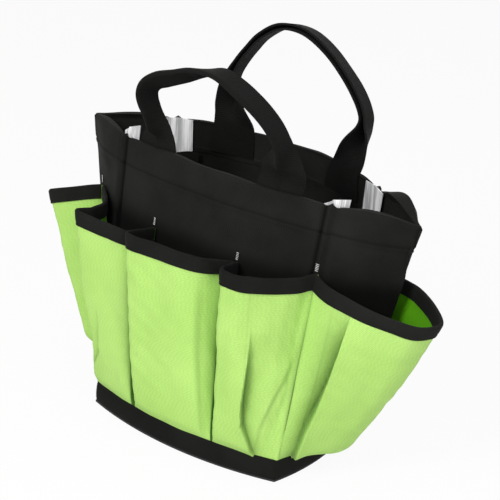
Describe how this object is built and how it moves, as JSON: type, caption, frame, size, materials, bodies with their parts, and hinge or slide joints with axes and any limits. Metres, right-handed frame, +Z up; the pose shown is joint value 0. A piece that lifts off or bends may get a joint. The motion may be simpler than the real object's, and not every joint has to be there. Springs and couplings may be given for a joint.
{
  "type": "garden tool bag",
  "caption": "Soft garden tool tote with a stiff base, a ring of flared outer pockets bound in tape, and two folding webbing handles.",
  "frame": {"origin": "on the floor under the middle of the base", "axes": "+X along the bag to the right, -Y the front with the lower handle, +Z up"},
  "size_m": [0.4754, 0.2277, 0.4381],
  "materials": {
    "body_cloth": "woven",
    "pocket_cloth": "woven",
    "binding_tape": "ribbed",
    "band_cloth": "woven",
    "webbing": "ribbed",
    "stay_plastic": "translucent",
    "board": "satin",
    "thread": "stitched"
  },
  "bodies": {
    "bag": {"base_panel": "body_cloth", "base_board": "board", "base_band": "band_cloth", "front_panel": "body_cloth", "front_hem": "body_cloth", "rear_panel": "body_cloth", "rear_hem": "body_cloth", "left_gusset": "body_cloth", "left_hem": "body_cloth", "right_gusset": "body_cloth", "right_hem": "body_cloth", "front_right_stay": "stay_plastic", "front_right_sleeve": "body_cloth", "front_left_stay": "stay_plastic", "front_left_sleeve": "body_cloth", "rear_left_stay": "stay_plastic", "rear_left_sleeve": "body_cloth", "rear_right_stay": "stay_plastic", "rear_right_sleeve": "body_cloth", "front_right_pocket": "pocket_cloth", "front_right_binding": "binding_tape", "front_left_pocket": "pocket_cloth", "front_left_binding": "binding_tape", "left_front_pocket": "pocket_cloth", "left_front_binding": "binding_tape", "left_rear_pocket": "pocket_cloth", "left_rear_binding": "binding_tape", "rear_left_pocket": "pocket_cloth", "rear_left_binding": "binding_tape", "rear_right_pocket": "pocket_cloth", "rear_right_binding": "binding_tape", "right_rear_pocket": "pocket_cloth", "right_rear_binding": "binding_tape", "right_front_pocket": "pocket_cloth", "right_front_binding": "binding_tape", "seam_tacks": "thread", "front_handle_left_end": "webbing", "front_handle_right_end": "webbing", "rear_handle_left_end": "webbing", "rear_handle_right_end": "webbing"},
    "front_handle_loop": {"front_handle": "webbing"},
    "rear_handle_loop": {"rear_handle": "webbing"}
  },
  "joints": [
    {"name": "front_handle_fold", "type": "hinge", "parent": "bag", "child": "front_handle_loop", "pos_m": [-0.00894, -0.05138, 0.3084], "axis": [0.9999, -0.0128, 0], "range_deg": [-25, 85]},
    {"name": "rear_handle_fold", "type": "hinge", "parent": "bag", "child": "rear_handle_loop", "pos_m": [0.00888, 0.06087, 0.3084], "axis": [-0.9996, 0.0277, 0], "range_deg": [-25, 85]}
  ]
}
